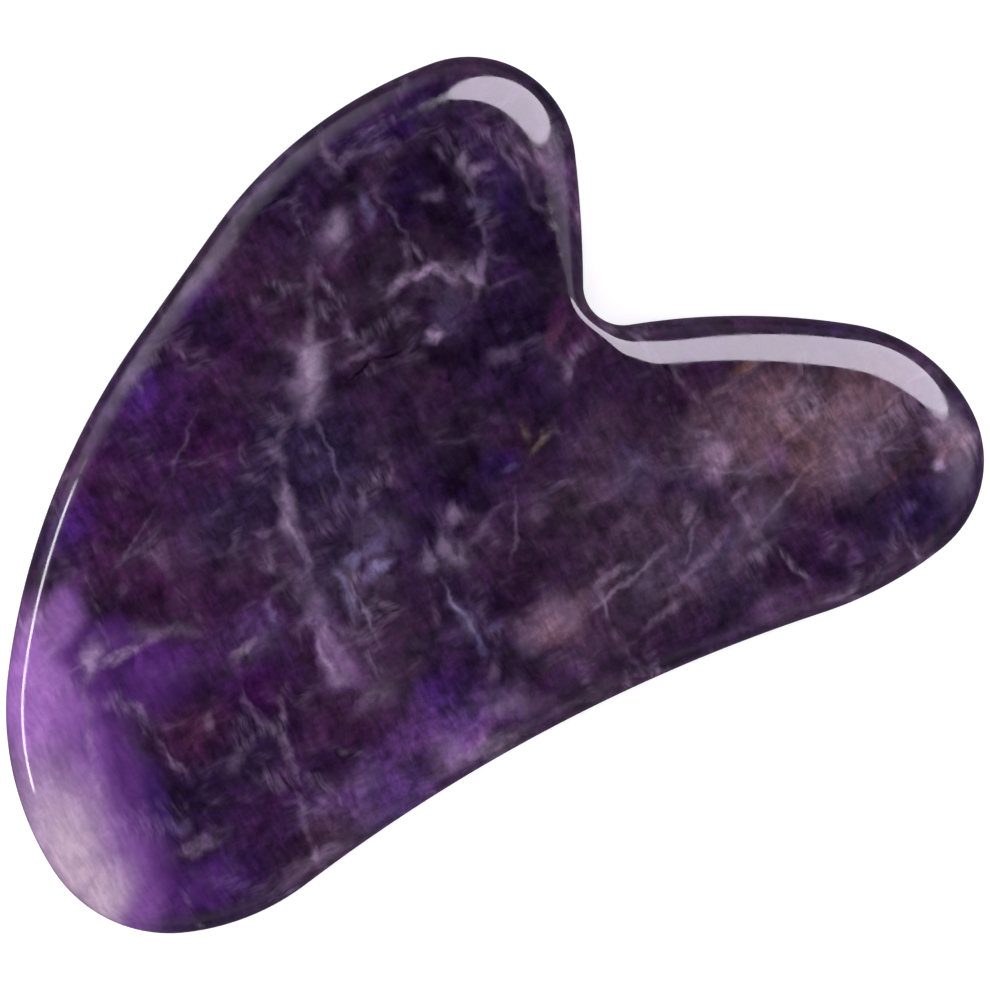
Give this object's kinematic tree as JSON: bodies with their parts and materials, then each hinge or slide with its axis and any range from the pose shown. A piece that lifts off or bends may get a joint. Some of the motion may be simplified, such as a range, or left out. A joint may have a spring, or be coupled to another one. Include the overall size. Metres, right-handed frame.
{
  "type": "gua sha scraper",
  "caption": "Hand-held stone scraping board: a flat heart-shaped plate with a fully rounded rim, a long nose, a short lobe and a notch between them that runs along the jaw line.",
  "frame": {"origin": "middle of the outline's bounding box, on the lower flat face, which the board rests on", "axes": "+X along the long under edge towards the nose, +Y towards the crown of the short lobe, +Z out of the upper flat face"},
  "size_m": [0.083, 0.055, 0.007],
  "materials": {
    "polished_amethyst": "polished"
  },
  "bodies": {
    "root": {"scraper_stone": "polished_amethyst"}
  },
  "joints": []
}
